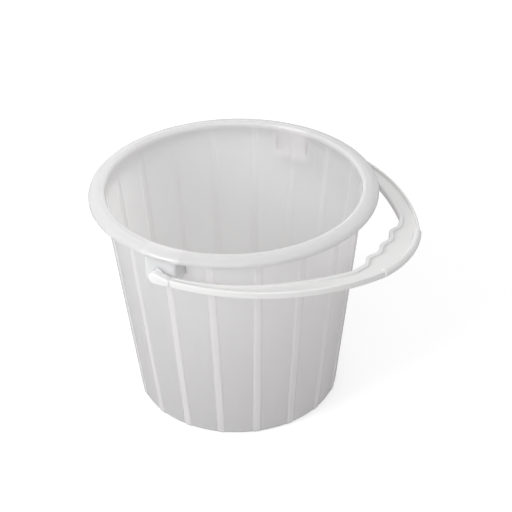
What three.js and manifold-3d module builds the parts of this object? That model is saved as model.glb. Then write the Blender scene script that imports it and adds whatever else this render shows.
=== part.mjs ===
// Yogurt bucket: a tapered, ribbed pail with a rolled rim and two hinge ears, and a carry handle with finger grips.
// Millimetres, +Z up. The origin is the middle of the base, and the handle reaches out along +X.
import * as THREE from "three";
import { mergeVertices } from "three/addons/utils/BufferGeometryUtils.js";
import Module from "manifold-3d";

const wasm = await Module();
wasm.setup();

// Pail wall and base
const baseRadius = 86.4; // outside of the wall, at the base
const wallTopRadius = 108.4; // outside of the wall, at the height of the rim
const wallThickness = 1.4;
const baseThickness = 2;
const baseCorner = 3; // rounding between base and wall, inside and outside

// Rim: a bead round the mouth, then a flange whose edge turns down into a short skirt
const pailHeight = 195; // top of the bead
const rimRadius = 120; // outside of the skirt
const beadRadius = 1.4;
const beadDrop = 2; // how far the flange lies below the top of the bead
const flangeThickness = 1.7;
const flangeFall = 0.5; // how much the flange slopes down towards its edge
const skirtRadius = 4.2; // rounding of the flange's outer edge
const skirtThickness = 1.6;
const rimFillet = 2.4; // between the wall and the underside of the flange

// Ribs: raised bands on the outside, each backed by a shallow flute on the inside
const ribCount = 18;
const ribHeight = 1;
const ribWidth = 7.2;
const ribTopWidth = 5.2;
const ribRoot = 1.2; // how deep a rib is rooted in the wall
const ribFoot = 0.4; // height of a rib's lower end above the floor
const ribFootRound = 3.4; // rounding of that end
const fluteDepth = 0.6;
const fluteWidth = 6.8;
const fluteBottomWidth = 5.4;
const fluteEnd = 7; // how far a flute stops short of the base and of the flange

// Ears: thin pockets under the rim, open below, each with a hole for the handle's stud
const pivotDrop = 18.4; // of the pivot axis below the top of the bead
const earStep = 0.3; // how far the ear's face lies inside the rim
const earHalfWidth = 14;
const earDraft = 1.5; // how much the half width grows from the ear's face to the wall
const earDrop = 9; // how far the ear reaches below the pivot
const earCorner = 5;
const earWall = 2;
const pivotHoleRadius = 3.6;

// Handle: an I-section strip bent into a pointed bow, widest at the grip
const handleTilt = 2.1; // degrees that the handle dips below level, as it rests
const handleHeight = 5.2; // of the flanges
const webThickness = 1.6;
const handleFlange = 2.3; // thickness of the flanges
const rimClearance = 1.9; // between the rim and the bow's inner edge
const armWidth = 6.3; // of the strip at the pivot
const sideRadius = 171; // of each side's outer edge
const innerTurn = 60; // degrees from the grip to where the inner edge leaves the circle round the rim
const innerRadius = 232; // of the inner edge from there to the grip
const innerEnd = 17; // degrees from the grip at which that edge ends
const channelStart = 16; // where the channels begin, from the pivot

// Grip: scallops for the fingers, and a round bead along the outer edge
const gripHalfLength = 34.5;
const gripWidth = 26.1; // from the middle tip between the fingers to the outer edge
const fingerGap = 13.2; // between the rim and that tip
const scallopCurve = 120; // radius of the line through the tips
const scallopPitch = 21.5;
const scallopDepth = 2.8;
const endGrooveDepth = 4.8; // of the groove beyond the last tip on each side
const tipCount = 3; // tips between the fingers
const gripBeadRadius = 3.3;
const gripBeadProud = 1.3; // how far the bead stands out from the grip's edge

// Bosses and snap studs at the handle's ends
const bossRadius = 4.8;
const bossChamfer = 0.8;
const padLength = 14; // over which the strip tapers up to the boss
const studClearance = 0.35; // round the stud, and on both faces of the ear
const studHeadRise = 0.6; // how far the snap head overlaps the rim of the hole
const studHeadLength = 4.2;
const studTipRadius = 2.4;
const studSlit = 1.4;

// How finely round forms are cut
const turnSteps = 90; // five to a rib, so that a rib sits on a corner
const arcSteps = 12;
const scallopSteps = 8;
const roundSteps = 24;

// Sizes that follow from those above
const radians = THREE.MathUtils.degToRad;
const wallSlope = (wallTopRadius - baseRadius) / pailHeight;
const flangeTop = pailHeight - beadDrop;
const flangeUnderside = flangeTop - flangeThickness;
const skirtBottom = flangeTop - skirtRadius;
const ribPitch = (2 * Math.PI) / ribCount;
const pivotHeight = pailHeight - pivotDrop;
const earTop = flangeUnderside - pivotHeight;
const earFace = rimRadius - earStep;
const bowInner = rimRadius + rimClearance; // inner edge of the strip at the pivot
const bowOuter = bowInner + armWidth;
const scallopReach = rimRadius + fingerGap; // from the pivot axis to the middle tip
const gripReach = scallopReach + gripWidth; // from the pivot axis to the middle of the grip's outer edge
const studRadius = pivotHoleRadius - studClearance;
const studHeadRadius = pivotHoleRadius + studHeadRise;
const bossFace = earFace + studClearance;
const studHeadFace = earFace - earWall - studClearance;

const wallOuter = (z) => baseRadius + wallSlope * z;
const wallInner = (z) => wallOuter(z) - wallThickness;

// Closed solid from a three.js geometry
function solid(geometry) {
  const bare = geometry.index ? geometry.toNonIndexed() : geometry.clone();
  bare.deleteAttribute("normal");
  bare.deleteAttribute("uv");
  const merged = mergeVertices(bare, 1e-4);
  const vertProperties = merged.attributes.position.array;
  const triVerts = new Uint32Array(merged.index.array);
  return new wasm.Manifold(new wasm.Mesh({ numProp: 3, vertProperties, triVerts }));
}

// Named mesh from a finished solid
function meshOf(name, made, material) {
  const { vertProperties, triVerts } = made.getMesh();
  const indexed = new THREE.BufferGeometry();
  indexed.setAttribute("position", new THREE.BufferAttribute(vertProperties, 3));
  indexed.setIndex(new THREE.BufferAttribute(triVerts, 1));
  const geometry = indexed.toNonIndexed();
  geometry.computeVertexNormals();
  const mesh = new THREE.Mesh(geometry, material);
  mesh.name = name;
  return mesh;
}

const extruded = (shape, depth) => new THREE.ExtrudeGeometry(shape, { depth, bevelEnabled: false });

// Half section of the pail, from the middle of the base round the rim and back inside
function pailProfile() {
  const edge = rimRadius - skirtRadius;
  const beadMiddle = new THREE.Vector2(wallInner(pailHeight) + beadRadius, pailHeight - beadRadius);
  const innerFloor = wallInner(baseThickness);
  const profile = new THREE.Path();
  profile.moveTo(0, 0);
  profile.lineTo(baseRadius - baseCorner, 0);
  profile.quadraticCurveTo(baseRadius, 0, wallOuter(baseCorner), baseCorner);
  profile.lineTo(wallOuter(flangeUnderside - rimFillet), flangeUnderside - rimFillet);
  const wallEnd = wallOuter(flangeUnderside);
  profile.quadraticCurveTo(wallEnd, flangeUnderside, wallEnd + rimFillet, flangeUnderside);
  profile.lineTo(edge, flangeUnderside - flangeFall);
  const skirtInside = rimRadius - skirtThickness;
  profile.quadraticCurveTo(skirtInside, flangeUnderside - flangeFall, skirtInside, skirtBottom);
  profile.lineTo(rimRadius - skirtThickness / 4, skirtBottom);
  profile.lineTo(rimRadius, skirtBottom + skirtThickness / 4);
  profile.quadraticCurveTo(rimRadius, flangeTop - flangeFall, edge, flangeTop - flangeFall / 2);
  profile.lineTo(beadMiddle.x + 2 * beadRadius, flangeTop);
  profile.absarc(beadMiddle.x, beadMiddle.y, beadRadius, -Math.PI / 6, Math.PI, false);
  profile.lineTo(wallInner(baseThickness + baseCorner), baseThickness + baseCorner);
  profile.quadraticCurveTo(innerFloor, baseThickness, innerFloor - baseCorner, baseThickness);
  profile.lineTo(0, baseThickness);
  return profile.getPoints(3);
}

function turnedPail() {
  const turned = new THREE.LatheGeometry(pailProfile(), turnSteps);
  return solid(turned.rotateX(Math.PI / 2));
}

// Cross-section of a bar on the wall: inner and outer face measured from the wall's outside
function trapezium(inner, outer, innerWidth, outerWidth) {
  const section = new THREE.Shape();
  section.moveTo(inner, -innerWidth / 2);
  section.lineTo(outer, -outerWidth / 2);
  section.lineTo(outer, outerWidth / 2);
  section.lineTo(inner, innerWidth / 2);
  section.closePath();
  return section;
}

// Bar that leans with the wall, repeated round the pail; the ears stand over two of the places
function barsRound(section, from, to) {
  const lean = Math.atan(wallSlope);
  const bar = extruded(section, (to - from) / Math.cos(lean));
  bar.rotateY(lean).translate(wallOuter(from), 0, from);
  const places = Array.from({ length: ribCount }, (_, i) => (i + 0.5) * ribPitch);
  return wasm.Manifold.union(places.map((place) => solid(bar.clone().rotateZ(place))));
}

// Turned form that is clear of the ribs everywhere but at their feet, which it rounds
function footEnvelope() {
  const face = wallOuter(ribFoot + ribFootRound) + ribHeight;
  const profile = new THREE.Path();
  profile.moveTo(0, 0);
  profile.lineTo(face - ribFootRound, 0);
  profile.quadraticCurveTo(face, 0, face, ribFootRound);
  profile.lineTo(rimRadius, 2 * ribFootRound);
  profile.lineTo(rimRadius, pailHeight);
  profile.lineTo(0, pailHeight);
  return solid(new THREE.LatheGeometry(profile.getPoints(3), turnSteps).rotateX(Math.PI / 2));
}

function ribs() {
  const flank = (ribWidth - ribTopWidth) / ribHeight;
  const section = trapezium(-ribRoot, ribHeight, ribWidth + flank * ribRoot, ribTopWidth);
  return barsRound(section, ribFoot, flangeUnderside + flangeThickness / 2).intersect(footEnvelope());
}

function flutes() {
  const flank = (fluteWidth - fluteBottomWidth) / fluteDepth;
  const start = -2 * wallThickness; // inside the pail, clear of the wall
  const width = fluteWidth + flank * wallThickness;
  const section = trapezium(start, fluteDepth - wallThickness, width, fluteBottomWidth);
  return barsRound(section, baseThickness + fluteEnd, flangeUnderside - fluteEnd);
}

// Ear outline in (sideways, up) about the pivot, a given distance inside its edge
function earOutline(inset, top, drop) {
  const half = earHalfWidth - inset;
  const corner = earCorner - inset;
  const outline = new THREE.Shape();
  outline.moveTo(-half, top);
  outline.lineTo(-half, corner - drop);
  outline.quadraticCurveTo(-half, -drop, corner - half, -drop);
  outline.lineTo(half - corner, -drop);
  outline.quadraticCurveTo(half, -drop, half, corner - drop);
  outline.lineTo(half, top);
  outline.closePath();
  return outline;
}

// Bar with that outline, from a face at the rim to well inside the wall, its sides spread by the draft
function earBar(outline, face) {
  const depth = face - wallInner(0);
  const bar = extruded(outline, depth).rotateX(Math.PI / 2).translate(0, face, pivotHeight);
  const position = bar.attributes.position;
  const reach = rimRadius - wallOuter(pivotHeight);
  for (let i = 0; i < position.count; i++) {
    const back = (rimRadius - position.getY(i)) / reach;
    position.setX(i, position.getX(i) * (1 + (back * earDraft) / earHalfWidth));
  }
  return solid(bar);
}

// Cone through the middle of the wall, which keeps the ears out of the pail
function wallCore() {
  const middle = wallThickness / 2;
  const cone = new THREE.CylinderGeometry(
    wallOuter(pailHeight) - middle,
    wallOuter(0) - middle,
    pailHeight,
    turnSteps,
  );
  return solid(cone.translate(0, pailHeight / 2, 0).rotateX(Math.PI / 2));
}

// Upright cylinder round the pail, whose corners line up with the rim's
function rimCylinder(radius) {
  const cylinder = new THREE.CylinderGeometry(radius, radius, pailHeight, turnSteps);
  return solid(cylinder.translate(0, pailHeight / 2, 0).rotateX(Math.PI / 2));
}

// Both ears: pockets between the wall and a face plate, curved as the rim is, that carries the pivot hole
function ears() {
  const outside = earBar(earOutline(0, earTop + flangeThickness / 2, earDrop), rimRadius);
  const inside = earBar(earOutline(earWall, earTop, earDrop + earCorner), rimRadius);
  const block = outside.intersect(rimCylinder(earFace));
  const pocket = inside.intersect(rimCylinder(earFace - earWall));
  const hole = new THREE.CylinderGeometry(pivotHoleRadius, pivotHoleRadius, 3 * earWall, roundSteps);
  hole.translate(0, earFace - earWall / 2, pivotHeight);
  const ear = block.subtract(pocket).subtract(solid(hole));
  return ear.add(ear.rotate([0, 0, 180])).subtract(wallCore());
}

function pailSolid() {
  return turnedPail().add(ribs()).add(ears()).subtract(flutes());
}

// Point of a circle round (x, y), in the plane of the handle
const onCircle = (x, y, radius, angle) =>
  new THREE.Vector2(x + radius * Math.cos(angle), y + radius * Math.sin(angle));

// Points along a circle between two angles
const arc = (x, y, radius, from, to, steps) =>
  Array.from({ length: steps + 1 }, (_, i) =>
    onCircle(x, y, radius, THREE.MathUtils.lerp(from, to, i / steps)),
  );

// Circle of the grip's outer edge, through the ends of both sides
function gripCircle() {
  const sideMiddle = bowOuter - sideRadius;
  const end = Math.sqrt(sideRadius ** 2 - (gripHalfLength - sideMiddle) ** 2);
  const rise = gripReach - end;
  const radius = (gripHalfLength ** 2 + rise ** 2) / (2 * rise);
  return { x: gripReach - radius, radius, half: Math.asin(gripHalfLength / radius) };
}

// Outer edge of the bow on one half, from the middle of the grip to a point beside the pivot
function outerEdge(inset, start) {
  const grip = gripCircle();
  const sideMiddle = bowOuter - sideRadius;
  const end = onCircle(grip.x, 0, grip.radius - inset, grip.half);
  const from = Math.atan2(end.y - sideMiddle, end.x);
  const to = Math.acos(start / (sideRadius - inset));
  return [
    ...arc(grip.x, 0, grip.radius - inset, 0, grip.half, arcSteps / 2).slice(0, -1),
    ...arc(0, sideMiddle, sideRadius - inset, from, to, arcSteps),
  ];
}

// Scalloped inner edge of the grip on one half: a cosine wave along the line through the tips, which deepens
// beyond the last tip
function scallops(inset) {
  const middle = scallopReach - scallopCurve;
  const step = scallopPitch / scallopCurve / scallopSteps;
  const lastTip = ((tipCount - 1) * scallopSteps) / 2;
  return Array.from({ length: (tipCount * scallopSteps) / 2 + 1 }, (_, i) => {
    const depth = i > lastTip ? endGrooveDepth : scallopDepth;
    const wave = (depth / 2) * (1 - Math.cos((2 * Math.PI * i) / scallopSteps));
    return onCircle(middle, 0, scallopCurve + wave + inset, step * i);
  });
}

// Inner edge of one half, from the grip to a point beside the pivot: a wide arc, then the circle round the rim
function innerEdge(inset, start) {
  const turn = radians(innerTurn);
  const shift = innerRadius - bowInner;
  const [x, y] = [-shift * Math.cos(turn), -shift * Math.sin(turn)];
  const end = Math.acos((bowInner * Math.cos(radians(innerEnd)) + shift * Math.cos(turn)) / innerRadius);
  return [
    ...arc(x, y, innerRadius + inset, end, turn, arcSteps / 2).slice(0, -1),
    ...arc(0, 0, bowInner + inset, turn, Math.acos(start / (bowInner + inset)), arcSteps / 2),
  ];
}

// Outline of the whole bow, a given distance inside its edge, with its ends level with the pivot or short of it
function bowOutline(inset, start) {
  const outer = outerEdge(inset, start);
  const inner = [...scallops(inset), ...innerEdge(inset, start)];
  const half = [...outer, ...inner.reverse()];
  const mirrored = half.slice(1, -1).map((point) => new THREE.Vector2(point.x, -point.y));
  return new THREE.Shape([...half, ...mirrored.reverse()]);
}

// I-section bow: the full outline less a channel above and one below the web
function bow() {
  const channelDepth = (handleHeight - webThickness) / 2;
  const body = solid(extruded(bowOutline(0, 0), handleHeight).translate(0, 0, -handleHeight / 2));
  const channel = extruded(bowOutline(handleFlange, channelStart), 2 * channelDepth);
  const above = solid(channel.clone().translate(0, 0, webThickness / 2));
  const below = solid(channel.translate(0, 0, -webThickness / 2 - 2 * channelDepth));
  return body.subtract(above).subtract(below);
}

// Round bead swept along the grip's outer edge
function gripBead() {
  const grip = gripCircle();
  const radius = grip.radius + gripBeadProud - gripBeadRadius;
  const line = arc(grip.x, 0, radius, -grip.half, grip.half, arcSteps);
  const path = new THREE.CatmullRomCurve3(line.map((point) => new THREE.Vector3(point.x, point.y, 0)));
  const section = new THREE.Shape().absarc(0, 0, gripBeadRadius, 0, 2 * Math.PI, false);
  return solid(new THREE.ExtrudeGeometry(section, { steps: arcSteps, curveSegments: arcSteps, extrudePath: path }));
}

// Pad that tapers from the round boss down to the height of the strip
function pad() {
  const outline = new THREE.Shape();
  outline.moveTo(padLength, handleHeight / 2);
  outline.lineTo(0, bossRadius);
  outline.absarc(0, 0, bossRadius, Math.PI / 2, (3 * Math.PI) / 2, false);
  outline.lineTo(padLength, -handleHeight / 2);
  outline.closePath();
  return solid(extruded(outline, armWidth).rotateX(Math.PI / 2).translate(0, bowOuter, 0));
}

// Boss face, stud and split snap head, turned about the pivot axis
function stud() {
  const tip = studHeadFace - studHeadLength;
  const points = [
    [0, tip],
    [studTipRadius, tip],
    [studHeadRadius, studHeadFace - studHeadRise],
    [studHeadRadius, studHeadFace],
    [studRadius, studHeadFace],
    [studRadius, bossFace],
    [bossRadius, bossFace],
    [bossRadius, bowOuter],
    [bossRadius - bossChamfer, bowOuter + bossChamfer],
    [0, bowOuter + bossChamfer],
  ];
  const turned = new THREE.LatheGeometry(points.map(([x, y]) => new THREE.Vector2(x, y)), roundSteps);
  const slitLength = bossFace - tip;
  const slit = new THREE.BoxGeometry(studSlit, slitLength, 3 * studHeadRadius);
  slit.translate(0, tip + slitLength / 2 - studClearance, 0);
  return solid(turned).subtract(solid(slit));
}

function handleSolid() {
  const end = pad().add(stud());
  const flat = bow().add(gripBead()).add(end).add(end.mirror([0, 1, 0]));
  return flat.rotate([0, handleTilt, 0]).translate([0, 0, pivotHeight]);
}

const milky = new THREE.MeshStandardMaterial({ color: 0xe0dcda, roughness: 0.4, metalness: 0 });
const white = new THREE.MeshStandardMaterial({ color: 0xf1f3f2, roughness: 0.3, metalness: 0 });

const bucket = new THREE.Group();
bucket.add(meshOf("bucket_body", pailSolid(), milky));
bucket.add(meshOf("carry_handle", handleSolid(), white));

export default bucket;
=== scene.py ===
import math
import bpy
import numpy as np
from mathutils import Matrix, Vector


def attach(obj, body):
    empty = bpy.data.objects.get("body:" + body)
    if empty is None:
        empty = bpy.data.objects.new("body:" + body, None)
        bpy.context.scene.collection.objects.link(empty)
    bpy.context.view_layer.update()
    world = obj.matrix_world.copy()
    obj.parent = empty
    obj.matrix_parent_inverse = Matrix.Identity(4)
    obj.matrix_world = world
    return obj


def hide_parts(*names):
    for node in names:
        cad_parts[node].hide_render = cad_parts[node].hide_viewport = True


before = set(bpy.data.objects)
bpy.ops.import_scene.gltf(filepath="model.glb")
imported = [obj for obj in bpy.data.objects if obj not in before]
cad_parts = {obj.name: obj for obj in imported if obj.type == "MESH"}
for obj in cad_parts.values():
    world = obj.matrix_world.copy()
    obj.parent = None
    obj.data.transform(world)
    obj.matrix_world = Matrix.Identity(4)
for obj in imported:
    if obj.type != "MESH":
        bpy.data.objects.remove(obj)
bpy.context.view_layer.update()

print("frame loaded")

mm = 0.001  # shapes are worked out in millimetres, and put into the meshes in metres


# Smooth ramp: 0 below low, 1 above high, and 3t^2 - 2t^3 between
def ramp(x, low, high):
    t = np.clip((x - low) / (high - low), 0, 1)
    return t * t * (3 - 2 * t)


# Angles once round, in even steps from 0, without the last one at 2 pi
def fullTurn(steps):
    return np.linspace(0, 2 * math.pi, steps, endpoint=False)


# Path through corners (x, y, radius): each corner is cut back by radius / tan(half its angle) and rounded
# by an arc, and each leg between two arcs is divided evenly. A closed path has a leg from last to first
def roundedPath(corners, legParts, arcParts=6, closed=False):
    corners = np.array(corners, dtype=float)
    count = len(corners)
    pieces = []
    for i in range(count):
        x, y, radius = corners[i]
        here = corners[i, :2]
        if not closed and i in (0, count - 1):
            pieces.append(here[None])
            continue
        back, ahead = corners[i - 1, :2] - here, corners[(i + 1) % count, :2] - here
        back, ahead = back / np.linalg.norm(back), ahead / np.linalg.norm(ahead)
        half = math.acos(np.clip(back @ ahead, -1, 1)) / 2
        cutBack = radius / math.tan(half)
        middle = here + (back + ahead) / np.linalg.norm(back + ahead) * radius / math.sin(half)
        first, last = here + back * cutBack - middle, here + ahead * cutBack - middle
        turn = math.pi - 2 * half
        s = np.linspace(0, 1, arcParts + 1)[:, None]
        arc = (np.sin((1 - s) * turn) * first + np.sin(s * turn) * last) / math.sin(turn)
        pieces.append(middle + arc)
    path = []
    for i in range(count if closed else count - 1):
        path.append(pieces[i])
        start, end = pieces[i][-1], pieces[(i + 1) % count][0]
        s = np.linspace(0, 1, legParts[i] + 1)[1:-1, None]
        path.append(start + s * (end - start))
    if not closed:
        path.append(pieces[-1])
    return np.concatenate(path)


# Mesh object from a grid of points (rows, columns, 3) in millimetres. The columns close on themselves, and
# each end row is closed by a fan to its middle. The volume has the sign of the sum of a . (b x c) over the
# triangles, and where that is negative the faces are turned round
def gridPiece(name, grid):
    sharpAngle = math.radians(40)  # edges that turn by more than this stay crisp
    rows, cols = grid.shape[:2]
    points = np.concatenate([grid.reshape(-1, 3), grid[0].mean(0)[None], grid[-1].mean(0)[None]])
    index = np.arange(rows * cols).reshape(rows, cols)
    nextCol = np.roll(index, -1, axis=1)
    quads = np.stack([index[:-1], nextCol[:-1], nextCol[1:], index[1:]], axis=-1).reshape(-1, 4)
    start = np.stack([np.full(cols, rows * cols), nextCol[0], index[0]], axis=-1)
    end = np.stack([np.full(cols, rows * cols + 1), index[-1], nextCol[-1]], axis=-1)
    tris = np.concatenate([start, end])
    a, b, c, d = (points[quads[:, i]] for i in range(4))
    e, f, g = (points[tris[:, i]] for i in range(3))
    volume = (a * np.cross(b, c)).sum() + (a * np.cross(c, d)).sum() + (e * np.cross(f, g)).sum()
    if volume < 0:
        quads, tris = quads[:, ::-1], tris[:, ::-1]
    mesh = bpy.data.meshes.new(name)
    mesh.from_pydata((points * mm).tolist(), [], quads.tolist() + tris.tolist())
    mesh.polygons.foreach_set("use_smooth", np.ones(len(mesh.polygons), dtype=bool))
    mesh.set_sharp_from_angle(angle=sharpAngle)
    mesh.update()
    piece = bpy.data.objects.new(name, mesh)
    bpy.context.collection.objects.link(piece)
    return piece


# Stores one number for each point of the grid, for a material to read. The middles of the two end fans get
# the mean of the row round them
def keepField(piece, name, field):
    layer = piece.data.attributes.new(name, "FLOAT", "POINT")
    layer.data.foreach_set("value", np.concatenate([field.ravel(), [field[0].mean(), field[-1].mean()]]))


# Takes the cutter out of the piece, and deletes the cutter
def cutAway(piece, cutter):
    cut = piece.modifiers.new("cut", "BOOLEAN")
    cut.operation = "DIFFERENCE"
    cut.solver = "EXACT"
    cut.object = cutter
    evaluated = piece.evaluated_get(bpy.context.evaluated_depsgraph_get())
    baked = bpy.data.meshes.new_from_object(evaluated)
    piece.modifiers.clear()
    piece.data = baked
    bpy.data.objects.remove(cutter)


# The pail: wall, base, rolled rim, and ribs with a flute behind each
pail = dict(
    baseRadius=86.4, wallTopRadius=108.4, height=195, wall=1.4, floor=2,
    baseCorner=4.2, floorCorner=4,  # roundings between wall and base, outside and inside
    ribs=18, ribPhase=-1, ribHeight=0.7,  # phase in degrees
    ribTop=2.0, ribFlank=1.8,  # half the width of a rib's top, and the width of each flank
    fluteDepth=0.4, fluteTop=1.8, fluteFlank=2.2,
    fluteStart=9, fluteEnd=188.8, fluteFade=6,  # heights, and how slowly a flute ends
    underside=191.2, underFall=0.5, underFillet=2.4,  # of the flange, which falls towards the skirt
    filletLoss=0.6,  # of the fillet, for each millimetre of rib
    rimRadius=120, skirtBottom=188.7, skirtInside=118.3, skirtCove=1.5, skirtInnerEdge=0.3,
    skirtTaper=0.25, skirtEdge=0.55, shoulderRise=3.6, shoulder=3.2,
    crown=(113.2, 193.9, 5), dip=(110.6, 194.2, 1.2),  # radius, height, rounding
    beadTop=194.95, beadOut=108.9, beadOutRound=1.3, beadIn=106.2, beadInRound=2.0,
    neckDrop=5.7, neckRound=6,  # where the inner wall turns up to the bead
)

# How thick the plastic looks, as a lighter colour, from 0, the plain wall, to 1: on the ribs, the flutes, in
# the base, where the lighter colour is partly painted light against the shade of light lost through it, and
# behind the ears, where the lighter patch is painted light in place of the shade they cast through the wall,
# with the distances over which each fades
thickAndLitLook = dict(rib=0.5, flute=0.2, ear=0.8, base=1, ribFade=3, earLightFade=5, earLightLow=4, earLightHigh=1, baseFade=10)


# Outside radius of the wall at height z: the base's radius + slope * z
def wallOuter(z):
    return pail["baseRadius"] + (pail["wallTopRadius"] - pail["baseRadius"]) / pail["height"] * z


# Inside radius of the wall: the outside one less the wall's thickness
def wallInner(z):
    return wallOuter(z) - pail["wall"]


# Half section of the pail as (radius, height), from corners that also give their rounding: base, wall,
# flange, skirt, crown, bead, inner wall and floor. The wall's outside stands out by this much more
def pailSection(out):
    under, skirt, top = pail["underside"], pail["skirtBottom"], pail["beadTop"]
    neck = top - pail["neckDrop"]
    corners = [
        (0, 0, 0),
        (wallOuter(0) + out, 0, pail["baseCorner"]),
        (wallOuter(under) + out, under, pail["underFillet"] - pail["filletLoss"] * out),
        (pail["skirtInside"], under - pail["underFall"], pail["skirtCove"]),
        (pail["skirtInside"], skirt, pail["skirtInnerEdge"]),
        (pail["rimRadius"] - pail["skirtTaper"], skirt, pail["skirtEdge"]),
        (pail["rimRadius"], skirt + pail["shoulderRise"], pail["shoulder"]),
        pail["crown"],
        pail["dip"],
        (pail["beadOut"], top, pail["beadOutRound"]),
        (pail["beadIn"], top, pail["beadInRound"]),
        (wallInner(neck), neck, pail["neckRound"]),
        (wallInner(pail["floor"]), pail["floor"], pail["floorCorner"]),
        (0, pail["floor"], 0),
    ]
    wallParts, floorParts = 28, 6
    rimParts = [3, 1, 1, 1, 2, 1, 1, 1, 1]
    return roundedPath(corners, [floorParts, wallParts, *rimParts, wallParts, floorParts])


# Surface of revolution of the section: radius = plain section + (rib section - plain section) * rib(x),
# x being the distance from the rib's middle. Inside, a flute sinks into the wall behind each rib
def makePail():
    plain, ribbed = pailSection(0), pailSection(pail["ribHeight"])
    top = plain[:, 1].argmax()
    pitch = 360 / pail["ribs"]
    onRib, onFlanks, onWall = np.linspace(0, 1.2, 4), np.linspace(1.3, 2.5, 10), [3, 4.3, 6, 8]
    half = np.concatenate([onRib, onFlanks, onWall])  # degrees from a rib's middle
    offsets = np.concatenate([-half[:0:-1], half, [pitch / 2]])
    turns = (np.arange(pail["ribs"]) + 0.5)[:, None] * pitch + offsets + pail["ribPhase"]
    angle = np.radians(turns).ravel()
    across = plain[1:-1, 0][:, None] * np.radians(np.abs(np.tile(offsets, pail["ribs"])))
    outside = (np.arange(len(plain)) < top)[1:-1, None]
    rib = 1 - ramp(across, pail["ribTop"], pail["ribTop"] + pail["ribFlank"])
    flute = 1 - ramp(across, pail["fluteTop"], pail["fluteTop"] + pail["fluteFlank"])
    section = plain[1:-1, None] + (ribbed - plain)[1:-1, None] * rib[..., None] * outside[..., None]
    z = section[..., 1]
    rise = ramp(z, pail["fluteStart"], pail["fluteStart"] + pail["fluteFade"])
    fall = 1 - ramp(z, pail["fluteEnd"] - pail["fluteFade"], pail["fluteEnd"])
    flute = flute * rise * fall * ~outside
    radius = section[..., 0] + pail["fluteDepth"] * flute
    x = radius * np.cos(angle)
    piece = gridPiece("pail", np.stack([x, radius * np.sin(angle), z], axis=-1))
    # The field lightens the colour: a thicker look on ribs, flutes and base, and painted light behind the
    # ears
    keepField(piece, "ribbed", thickAndLitField(x, radius, z, rib * outside, flute))
    return piece


# The greatest of four fields, each times its own share: rib below the flange, flute, a soft patch of painted
# light as wide and as deep as the ear behind it, and base, which fades out before the corner
def thickAndLitField(x, radius, z, rib, flute):
    standing = rib * (1 - ramp(z, pail["underside"] - thickAndLitLook["ribFade"], pail["underside"]))
    # Painted light: a lighter patch on the wall behind each ear, in place of the shade that the ear casts
    # through it
    acrossEarLight = 1 - ramp(np.abs(x) - ear["half"], 0, thickAndLitLook["earLightFade"])
    earFoot = ear["pivot"] - ear["drop"]
    paintedEarLight = acrossEarLight * ramp(z, earFoot - thickAndLitLook["earLightLow"], earFoot + thickAndLitLook["earLightHigh"])
    baseEdge = wallInner(pail["floor"]) - pail["floorCorner"]
    inBase = 1 - ramp(radius, baseEdge - thickAndLitLook["baseFade"], baseEdge)
    thick = np.maximum(thickAndLitLook["rib"] * standing, thickAndLitLook["flute"] * flute)
    return np.maximum(np.maximum(thick, thickAndLitLook["ear"] * paintedEarLight), thickAndLitLook["base"] * inBase)


# The two ears: thin pockets under the rim, open below, with the hole for the handle's stud
ear = dict(
    half=14, draft=1.5, drop=9, corner=5, wall=2, sideCorner=2.2,
    step=0.3,  # from the rim in to the ear's face
    top=190,  # where the walls end, just under the flange
    back=104,  # from the axis, where the U starts, before it is drawn out to the middle of the pail's wall
    pivot=176.6, hole=3.6, edge=0.45, topEdge=0.1,
)


# A wall's section carried along a U in plan, from the pail round the face and back. The face is curved as
# the rim is, every point's lower end follows the rounded outline by its own x, and the ends stop in the
# middle of the pail's wall
def makeEar(name, side):
    face, wall = pail["rimRadius"] - ear["step"], ear["wall"]
    middle, half = face - wall / 2, ear["half"] - wall / 2
    spread = ear["draft"] * (face - ear["back"]) / (face - wallOuter(ear["pivot"]))
    corners = [
        (-half - spread, ear["back"], 0),
        (-half, middle, ear["sideCorner"]),
        (half, middle, ear["sideCorner"]),
        (half + spread, ear["back"], 0),
    ]
    path = roundedPath(corners, [14, 30, 14], 10)
    path[:, 1] -= middle - np.sqrt(middle**2 - path[:, 0] ** 2)
    along = np.gradient(path, axis=0)
    normal = np.stack([-along[:, 1], along[:, 0]], axis=-1) / np.linalg.norm(along, axis=1)[:, None]
    deep = ear["top"] - ear["pivot"] + ear["drop"]
    section = [
        (-wall / 2, 0, ear["edge"]),
        (wall / 2, 0, ear["edge"]),
        (wall / 2, deep, ear["topEdge"]),
        (-wall / 2, deep, ear["topEdge"]),
    ]
    loop = roundedPath(section, [1, 14, 2, 14], 4, closed=True)
    plan = path[:, None] + normal[:, None] * loop[:, 0][:, None]
    bend = np.clip((np.abs(plan[..., 0]) - ear["half"] + ear["corner"]) / ear["corner"], 0, 1)
    bottom = ear["pivot"] - ear["drop"] + ear["corner"] * (1 - np.sqrt(1 - bend**2))
    z = bottom + loop[:, 1] * (ear["top"] - bottom) / deep
    radius = np.maximum(np.hypot(plan[..., 0], plan[..., 1]), wallOuter(z) - pail["wall"] / 2)
    angle = np.arctan2(plan[..., 1], plan[..., 0])
    piece = gridPiece(name, np.stack([radius * np.cos(angle), side * radius * np.sin(angle), z], axis=-1))
    turn = fullTurn(48)
    reach = side * np.array([face - 2 * wall, face + 2 * wall])[:, None] + 0 * turn
    x, z = ear["hole"] * np.cos(turn) + 0 * reach, ear["pivot"] + ear["hole"] * np.sin(turn) + 0 * reach
    cutAway(piece, gridPiece("hole", np.stack([x, reach, z], axis=-1)))
    return piece


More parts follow.
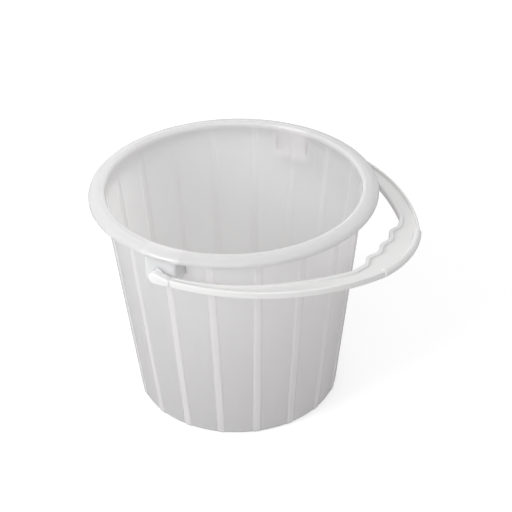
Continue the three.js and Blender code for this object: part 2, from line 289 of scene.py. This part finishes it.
# The handle: an I-section strip bent into a bow, with finger scallops and a bead on the grip, and a pad, a
# boss and a stud at each end
bow = dict(
    tilt=2.1,  # degrees below level
    halfHeight=2.6, foot=3.6,  # of the flanges above and below the middle
    web=0.8, flange=2.3, rail=1.3,  # half the web, the flanges, and what the inner one gains at the grip
    edge=0.9, inside=0.45,  # roundings of the section, outside and in its corners
    rimGap=1.9, arm=6.3, sideRadius=171,
    turn=60, innerRadius=232,  # where the inner edge leaves the rim's circle, and its radius from there
    gripHalf=34.5, gripWidth=26.1, fingerGap=13.2,
    scallopCurve=120, pitch=21.5, depth=2.8, endDepth=4.8, tips=3,
    beadRadius=3.3, beadProud=1.3, beadEnd=0.9, beadDraw=0.25,
    channelStart=16,  # from the pivot
    bossRadius=4.8, bossRound=4.4, bossShoulder=4, bossDepth=3, padLength=14, padCorner=3, dome=0.8,
    clearance=0.35, headRise=0.6, headLength=4.2, headTaper=0.6, tip=2.4,
)
bow["inner"] = pail["rimRadius"] + bow["rimGap"]
bow["scallopReach"] = pail["rimRadius"] + bow["fingerGap"]
bow["gripReach"] = bow["scallopReach"] + bow["gripWidth"]


# Distance from the origin to a circle's far side along angle a. The circle is centred at (x, y), and the
# distance is the centre's share along a + the root of radius^2 - its share across a, squared
def toCircle(a, x, y, radius):
    along = x * np.cos(a) + y * np.sin(a)
    across = y * np.cos(a) - x * np.sin(a)
    return along + np.sqrt(radius**2 - across**2)


# Centre and radius of the grip's circle, through the ends of both sides and the middle of the grip's outer
# edge: radius = (half chord^2 + rise^2) / (2 * rise)
def gripArc():
    sideMiddle = bow["inner"] + bow["arm"] - bow["sideRadius"]
    end = math.sqrt(bow["sideRadius"] ** 2 - (bow["gripHalf"] - sideMiddle) ** 2)
    rise = bow["gripReach"] - end
    radius = (bow["gripHalf"] ** 2 + rise**2) / (2 * rise)
    return bow["gripReach"] - radius, radius


# Outer edge: the grip's circle as far as the grip goes, and beyond it the side's circle
def outerEdge(a):
    sideMiddle = bow["inner"] + bow["arm"] - bow["sideRadius"]
    x, radius = gripArc()
    grip = toCircle(a, x, 0, radius)
    side = toCircle(np.abs(a), 0, sideMiddle, bow["sideRadius"])
    return np.where(np.abs(grip * np.sin(a)) < bow["gripHalf"], grip, side)


# Inner edge: the circle round the rim, then a wide arc, and at the grip a cosine wave along the tips' line,
# which is deeper beyond the last tip
def innerEdge(a):
    turn = math.radians(bow["turn"])
    shift = bow["innerRadius"] - bow["inner"]
    wide = toCircle(np.abs(a), -shift * math.cos(turn), -shift * math.sin(turn), bow["innerRadius"])
    side = np.where(np.abs(a) > turn, bow["inner"], wide)
    middle = bow["scallopReach"] - bow["scallopCurve"]
    line = toCircle(a, middle, 0, bow["scallopCurve"])
    place = np.arctan2(line * np.sin(a), line * np.cos(a) - middle) * bow["scallopCurve"] / bow["pitch"]
    place = np.clip(place, -bow["tips"] / 2, bow["tips"] / 2)
    depth = np.where(np.abs(place) > (bow["tips"] - 1) / 2, bow["endDepth"], bow["depth"])
    wave = depth / 2 * (1 - np.cos(2 * math.pi * place))
    return np.minimum(side, toCircle(a, middle, 0, bow["scallopCurve"] + wave))


# Puts points (reach, across, height) of the handle's own plane in place: tipped by the tilt about the
# pivot's axis, and raised to it
def inPlace(reach, across, height):
    tilt = math.radians(bow["tilt"])
    reach, across, height = np.broadcast_arrays(reach, across, height)
    x = reach * math.cos(tilt) + height * math.sin(tilt)
    z = height * math.cos(tilt) - reach * math.sin(tilt) + ear["pivot"]
    return np.stack([x, across, z], axis=-1)


# I-section carried along the bow by its angle. The outer flange keeps its width: distance = outer - (width
# - x). The inner flange is as wide on the arms, and widens with the bow at the grip: distance = inner + x *
# rail / flange. What lies between is a share of the way. The lower halves of the flanges are the deeper
# ones, and near the pivots the channels are filled
def makeBow():
    fine, middling, coarse = np.arange(0, 17, 0.3), np.arange(17, 32, 0.6), np.arange(32, 90.5, 1.5)
    angles = np.concatenate([fine, middling, coarse])  # degrees from the middle of the grip
    a = np.radians(np.concatenate([-angles[:0:-1], angles]))[:, None]
    high, low, web, flange = bow["halfHeight"], bow["foot"], bow["web"], bow["flange"]
    width = 12  # of the nominal section, which is stretched to each place's own width
    far = width - flange
    edge, inside = bow["edge"], bow["inside"]
    section = [
        (0, -low, edge), (0, high, edge), (flange, high, edge / 2),
        (flange, web, inside), (far, web, inside),
        (far, high, edge / 2), (width, high, edge), (width, -low, edge), (far, -low, edge / 2),
        (far, -web, inside), (flange, -web, inside),
        (flange, -low, edge / 2),
    ]
    loop = roundedPath(section, [3, 1, 1, 8, 1, 1, 3, 1, 1, 8, 1, 1], 4, closed=True)
    x, h = loop.T
    inner, outer = innerEdge(a), outerEdge(a)
    rail = flange + bow["rail"] * ramp(outer - inner, bow["arm"] + 1, 2 * bow["arm"])
    share = np.clip((x - flange) / (far - flange), 0, 1)
    between = inner + rail + share * (outer - inner - rail - flange)
    outwards = np.where(x > far, outer + x - width, between)
    reach = np.where(x < flange, inner + x * rail / flange, outwards)
    p = reach * np.cos(a)
    face = np.where(h > 0, high, -low)
    channel = (x > flange - inside) & (x < far + inside) & (np.abs(h) < np.abs(face))
    fill = np.where(channel, 1 - ramp(p, bow["channelStart"] - 1, bow["channelStart"] + 1), 0)
    return gridPiece("handle_bow", inPlace(p, reach * np.sin(a), h + fill * (face - h)))


# Round bead along the grip's outer edge: radius = bead * (1 - draw + draw * root(1 - near^2)), near going
# from 0 to 1 over the bead's last stretch at both ends
def makeBead():
    x, radius = gripArc()
    half = math.asin(bow["gripHalf"] / radius)
    s = np.sin(np.linspace(-math.pi / 2, math.pi / 2, 71))[:, None]
    near = np.clip((np.abs(s) - 1) * bow["gripHalf"] / bow["beadEnd"] + 1, 0, 1)
    size = bow["beadRadius"] * (1 - bow["beadDraw"] + bow["beadDraw"] * np.sqrt(1 - near**2))
    turn = fullTurn(32)
    reach = radius + bow["beadProud"] - bow["beadRadius"] + size * np.cos(turn)
    a = s * half
    return gridPiece("handle_bead", inPlace(x + reach * np.cos(a), reach * np.sin(a), size * np.sin(turn)))


# Pad with a teardrop outline: round about the pivot, then tapering to the strip's own height, with rounded
# corners at its end. Each row of the pad is the outline drawn in along its normals by that row's amount
def makePad(name, side):
    length, high, low, boss = bow["padLength"], bow["halfHeight"], bow["foot"], bow["bossRadius"]
    corners = [
        (length, -low, bow["padCorner"]),
        (length, high, bow["padCorner"]),
        (0, boss, bow["bossShoulder"]),
        (-boss, boss, bow["bossRound"]),
        (-boss, -boss, bow["bossRound"]),
        (0, -boss, bow["bossShoulder"]),
    ]
    outline = roundedPath(corners, [2, 4, 1, 1, 1, 4], 10, closed=True)
    along = np.roll(outline, -1, axis=0) - np.roll(outline, 1, axis=0)
    normal = np.stack([along[:, 1], -along[:, 0]], axis=-1) / np.linalg.norm(along, axis=1)[:, None]
    normal = normal * np.sign((normal * outline).sum())
    start, face = bow["inner"], bow["inner"] + bow["arm"]
    rows = np.array([  # distance along the pivot's axis, and how far the outline is drawn in there
        (start, 0.7), (start + 0.2, 0.25), (start + 0.7, 0),
        (face - bow["dome"], 0), (face - 0.35, 0.15), (face, 0.45),
        (face + 0.25, 0.9), (face + 0.4, 1.6), (face + 0.45, 2.4),
    ])
    shape = outline - normal * rows[:, 1][:, None, None]
    return gridPiece(name, inPlace(shape[..., 0], side * rows[:, 0][:, None], shape[..., 1]))


# Snap head, stud and boss: a profile of (radius, distance along the pivot's axis, rounding) turned about
# that axis. The stud passes through the ear's hole, with the clearance round it and on both of its faces
def makeStud(name, side):
    face = pail["rimRadius"] - ear["step"]
    boss, behind = face + bow["clearance"], face - ear["wall"] - bow["clearance"]
    tip = behind - bow["headLength"]
    head, shaft = ear["hole"] + bow["headRise"], ear["hole"] - bow["clearance"]
    corners = [
        (0, tip, 0),
        (bow["tip"], tip, 0.4),
        (head, behind - bow["headTaper"], 0.3),
        (head, behind, 0.2),
        (shaft, behind, 0.1),
        (shaft, boss, 0.2),
        (bow["bossRadius"], boss, 0.3),
        (bow["bossRadius"], boss + bow["bossDepth"], 0),
    ]
    profile = roundedPath(corners, [1, 3, 1, 1, 2, 1, 2], 3)[1:]
    turn = fullTurn(48)
    radius, along = profile[:, 0][:, None], profile[:, 1][:, None]
    return gridPiece(name, inPlace(radius * np.cos(turn), side * along, radius * np.sin(turn)))


sides = ((-1, "near"), (1, "far"))
pailPiece = makePail()
earPieces = [makeEar("ear_" + word, side) for side, word in sides]
print("pail and ears made")

handlePieces = [makeBow(), makeBead()]
for side, word in sides:
    handlePieces.append(makePad("handle_pad_" + word, side))
    handlePieces.append(makeStud("handle_stud_" + word, side))
print("handle made")


# Finishes: two moulded plastics, each with a fine satin grain, slow waves from the mould, and faint clouding.
# The milky one lets light through its whole wall, and less where it looks thick, where it is also lighter:
# behind the ears that lighter colour is painted light. The ears scatter light over a shorter way, so that
# they cast no dark patch through the wall behind them
milkyFinish = dict(
    colour=(0.86, 0.835, 0.836), thickAndLitColour=(0.945, 0.925, 0.925), through=1.0, throughThick=0.3,
    depth=0.025, roughness=0.14,
    cloud=0.03, cloudSize=0.05, grain=0.0006, grainStrength=0.05, wave=0.014, waveStrength=0.05,
)
# Ears: the pail's plastic, painted lighter as painted light against the shade on their faces and sides
litEarFinish = dict(milkyFinish, colour=(0.93, 0.905, 0.905), thickAndLitColour=None, depth=0.009)
whiteFinish = dict(
    colour=(0.85, 0.848, 0.846), thickAndLitColour=None, through=0.6,
    depth=0.0015, roughness=0.24,
    cloud=0.02, cloudSize=0.03, grain=0.0005, grainStrength=0.05, wave=0.009, waveStrength=0.06,
)
relief = dict(wave=0.002, grain=0.0002)  # depths of the bumps, in metres


# Noise on Object coordinates, one feature being about this many metres across
def addNoise(nodes, links, place, size, detail):
    noise = nodes.new("ShaderNodeTexNoise")
    noise.inputs["Scale"].default_value = 1 / size
    noise.inputs["Detail"].default_value = detail
    links.new(place.outputs["Object"], noise.inputs["Vector"])
    return noise.outputs["Fac"]


# Maps a factor from 0..1 to low..high
def addRange(nodes, links, source, low, high):
    spread = nodes.new("ShaderNodeMapRange")
    spread.inputs["To Min"].default_value = low
    spread.inputs["To Max"].default_value = high
    links.new(source, spread.inputs["Value"])
    return spread.outputs["Result"]


# Bump of this depth and strength from a height
def addBump(nodes, links, height, strength, depth):
    bump = nodes.new("ShaderNodeBump")
    bump.inputs["Strength"].default_value = strength
    bump.inputs["Distance"].default_value = depth
    links.new(height, bump.inputs["Height"])
    return bump


# Plastic: colour = body colour * clouding, with a grain bump over a wave bump, and roughness that clouds
# with the same noise. Where there is a thick-and-lit colour, body colour and how much light goes through both
# follow the ribbed field, which behind the ears paints a lighter patch of light, and otherwise they are the
# same all over
def plastic(name, finish):
    material = bpy.data.materials.new(name)
    material.use_nodes = True
    nodes, links = material.node_tree.nodes, material.node_tree.links
    shader = nodes["Principled BSDF"]
    shader.inputs["IOR"].default_value = 1.49
    shader.inputs["Subsurface Radius"].default_value = (1, 0.96, 0.92)
    shader.inputs["Subsurface Scale"].default_value = finish["depth"]
    shader.inputs["Subsurface Weight"].default_value = finish["through"]
    place = nodes.new("ShaderNodeTexCoord")

    cloud = addNoise(nodes, links, place, finish["cloudSize"], 3)
    tint = nodes.new("ShaderNodeVectorMath")
    tint.operation = "SCALE"
    tint.inputs[0].default_value = finish["colour"]
    shade = addRange(nodes, links, cloud, 1 - finish["cloud"], 1 + finish["cloud"])
    links.new(shade, tint.inputs["Scale"])
    links.new(tint.outputs["Vector"], shader.inputs["Base Color"])
    rough = finish["roughness"]
    links.new(addRange(nodes, links, cloud, rough - 0.05, rough + 0.05), shader.inputs["Roughness"])

    if finish["thickAndLitColour"]:
        field = nodes.new("ShaderNodeAttribute")
        field.attribute_name = "ribbed"
        # Lighter colour by the field: thicker look on ribs, flutes and base, and painted light behind the
        # ears
        body = nodes.new("ShaderNodeMix")
        body.data_type = "RGBA"
        body.inputs["A"].default_value = (*finish["colour"], 1)
        body.inputs["B"].default_value = (*finish["thickAndLitColour"], 1)
        links.new(field.outputs["Fac"], body.inputs["Factor"])
        links.new(body.outputs["Result"], tint.inputs[0])
        through = addRange(nodes, links, field.outputs["Fac"], finish["through"], finish["throughThick"])
        links.new(through, shader.inputs["Subsurface Weight"])

    waves = addNoise(nodes, links, place, finish["wave"], 1)
    wave = addBump(nodes, links, waves, finish["waveStrength"], relief["wave"])
    grains = addNoise(nodes, links, place, finish["grain"], 2)
    grain = addBump(nodes, links, grains, finish["grainStrength"], relief["grain"])
    links.new(wave.outputs["Normal"], grain.inputs["Normal"])
    links.new(grain.outputs["Normal"], shader.inputs["Normal"])
    return material


# Gives each piece its material, the body it rides on, the solid it stands for and its material slot
def dress(pieces, material, body, node):
    for piece in pieces:
        piece.data.materials.clear()
        piece.data.materials.append(material)
        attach(piece, body)
        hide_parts(node)


dress([pailPiece], plastic("milky_plastic", milkyFinish), "bucket", "bucket_body")
dress(earPieces, plastic("milky_plastic_ears", litEarFinish), "bucket", "bucket_body")
dress(handlePieces, plastic("white_plastic", whiteFinish), "handle", "carry_handle")
print("finishes set")


# Floor, light and camera, in metres, watts and degrees. The target turns with the camera: to its right,
# ahead and up
studio = dict(
    worldLight=0.62, lookAt=(0, 0, 0.1),
    floorSize=8, floorColour=(0.6, 0.6, 0.6), floorRoughness=0.7, floorGlow=0.55,
)
lamps = dict(
    key=dict(size=0.7, power=11.1, place=(-0.61, -1.31, 0.8)),
    front=dict(size=1.0, power=2.5, place=(0.52, -1.11, 1.15)),
    back=dict(size=1.4, power=2.5, place=(-0.8, 1.13, 0.92)),
)
shot = dict(
    turn=28.84, height=32.99, roll=-1.144,
    lens=105.6, distance=1.2768, target=(0.01727, 0, 0.12296),
)


# Wide plain floor that takes the shadow, with a glow that only the camera sees, so that it shows white
def makeFloor():
    bpy.ops.mesh.primitive_plane_add(size=studio["floorSize"])
    floor = bpy.context.object
    floor.name = "floor"
    material = bpy.data.materials.new("pale_floor")
    material.use_nodes = True
    nodes, links = material.node_tree.nodes, material.node_tree.links
    shader = nodes["Principled BSDF"]
    shader.inputs["Base Color"].default_value = (*studio["floorColour"], 1)
    shader.inputs["Roughness"].default_value = studio["floorRoughness"]
    shader.inputs["Emission Color"].default_value = (1, 1, 1, 1)
    rays = nodes.new("ShaderNodeLightPath")
    glow = addRange(nodes, links, rays.outputs["Is Camera Ray"], 0, studio["floorGlow"])
    links.new(glow, shader.inputs["Emission Strength"])
    floor.data.materials.append(material)


# White world: strength 1 for what the camera, a mirror or a glass sees, and the plain light level for the
# rest
def makeWorld():
    world = bpy.data.worlds.new("studio")
    bpy.context.scene.world = world
    world.use_nodes = True
    nodes, links = world.node_tree.nodes, world.node_tree.links
    background = nodes["Background"]
    background.inputs["Color"].default_value = (1, 1, 1, 1)
    rays = nodes.new("ShaderNodeLightPath")
    seen = rays.outputs["Is Camera Ray"]
    for kind in ("Is Glossy Ray", "Is Transmission Ray"):
        either = nodes.new("ShaderNodeMath")
        either.operation = "MAXIMUM"
        links.new(seen, either.inputs[0])
        links.new(rays.outputs[kind], either.inputs[1])
        seen = either.outputs["Value"]
    links.new(addRange(nodes, links, seen, studio["worldLight"], 1), background.inputs["Strength"])


# Round area lamp turned towards the object
def addLamp(name, size, power, place):
    data = bpy.data.lights.new(name, "AREA")
    data.shape = "DISK"
    data.size = size
    data.energy = power
    lamp = bpy.data.objects.new(name, data)
    lamp.location = place
    lamp.rotation_euler = (Vector(studio["lookAt"]) - Vector(place)).to_track_quat("-Z", "Y").to_euler()
    bpy.context.collection.objects.link(lamp)


# Camera at this distance from the target, turned round the object and raised, and rolled about its own axis
def makeCamera():
    turn, height, roll = (math.radians(shot[key]) for key in ("turn", "height", "roll"))
    level = math.cos(height)
    back = Vector((math.sin(turn) * level, -math.cos(turn) * level, math.sin(height)))
    right = Vector((math.cos(turn), math.sin(turn), 0))
    up = back.cross(right)
    rolledRight = math.cos(roll) * right + math.sin(roll) * up
    rolledUp = -math.sin(roll) * right + math.cos(roll) * up
    target = Matrix.Rotation(turn, 3, "Z") @ Vector(shot["target"])
    data = bpy.data.cameras.new("camera")
    data.lens = shot["lens"]
    camera = bpy.data.objects.new("camera", data)
    bpy.context.collection.objects.link(camera)
    place = Matrix((rolledRight, rolledUp, back)).transposed().to_4x4()
    place.translation = target + back * shot["distance"]
    camera.matrix_world = place
    bpy.context.scene.camera = camera


makeFloor()
makeWorld()
for name, lamp in lamps.items():
    addLamp(name, **lamp)
makeCamera()
bpy.context.scene.view_settings.view_transform = "Standard"
print("stage set")
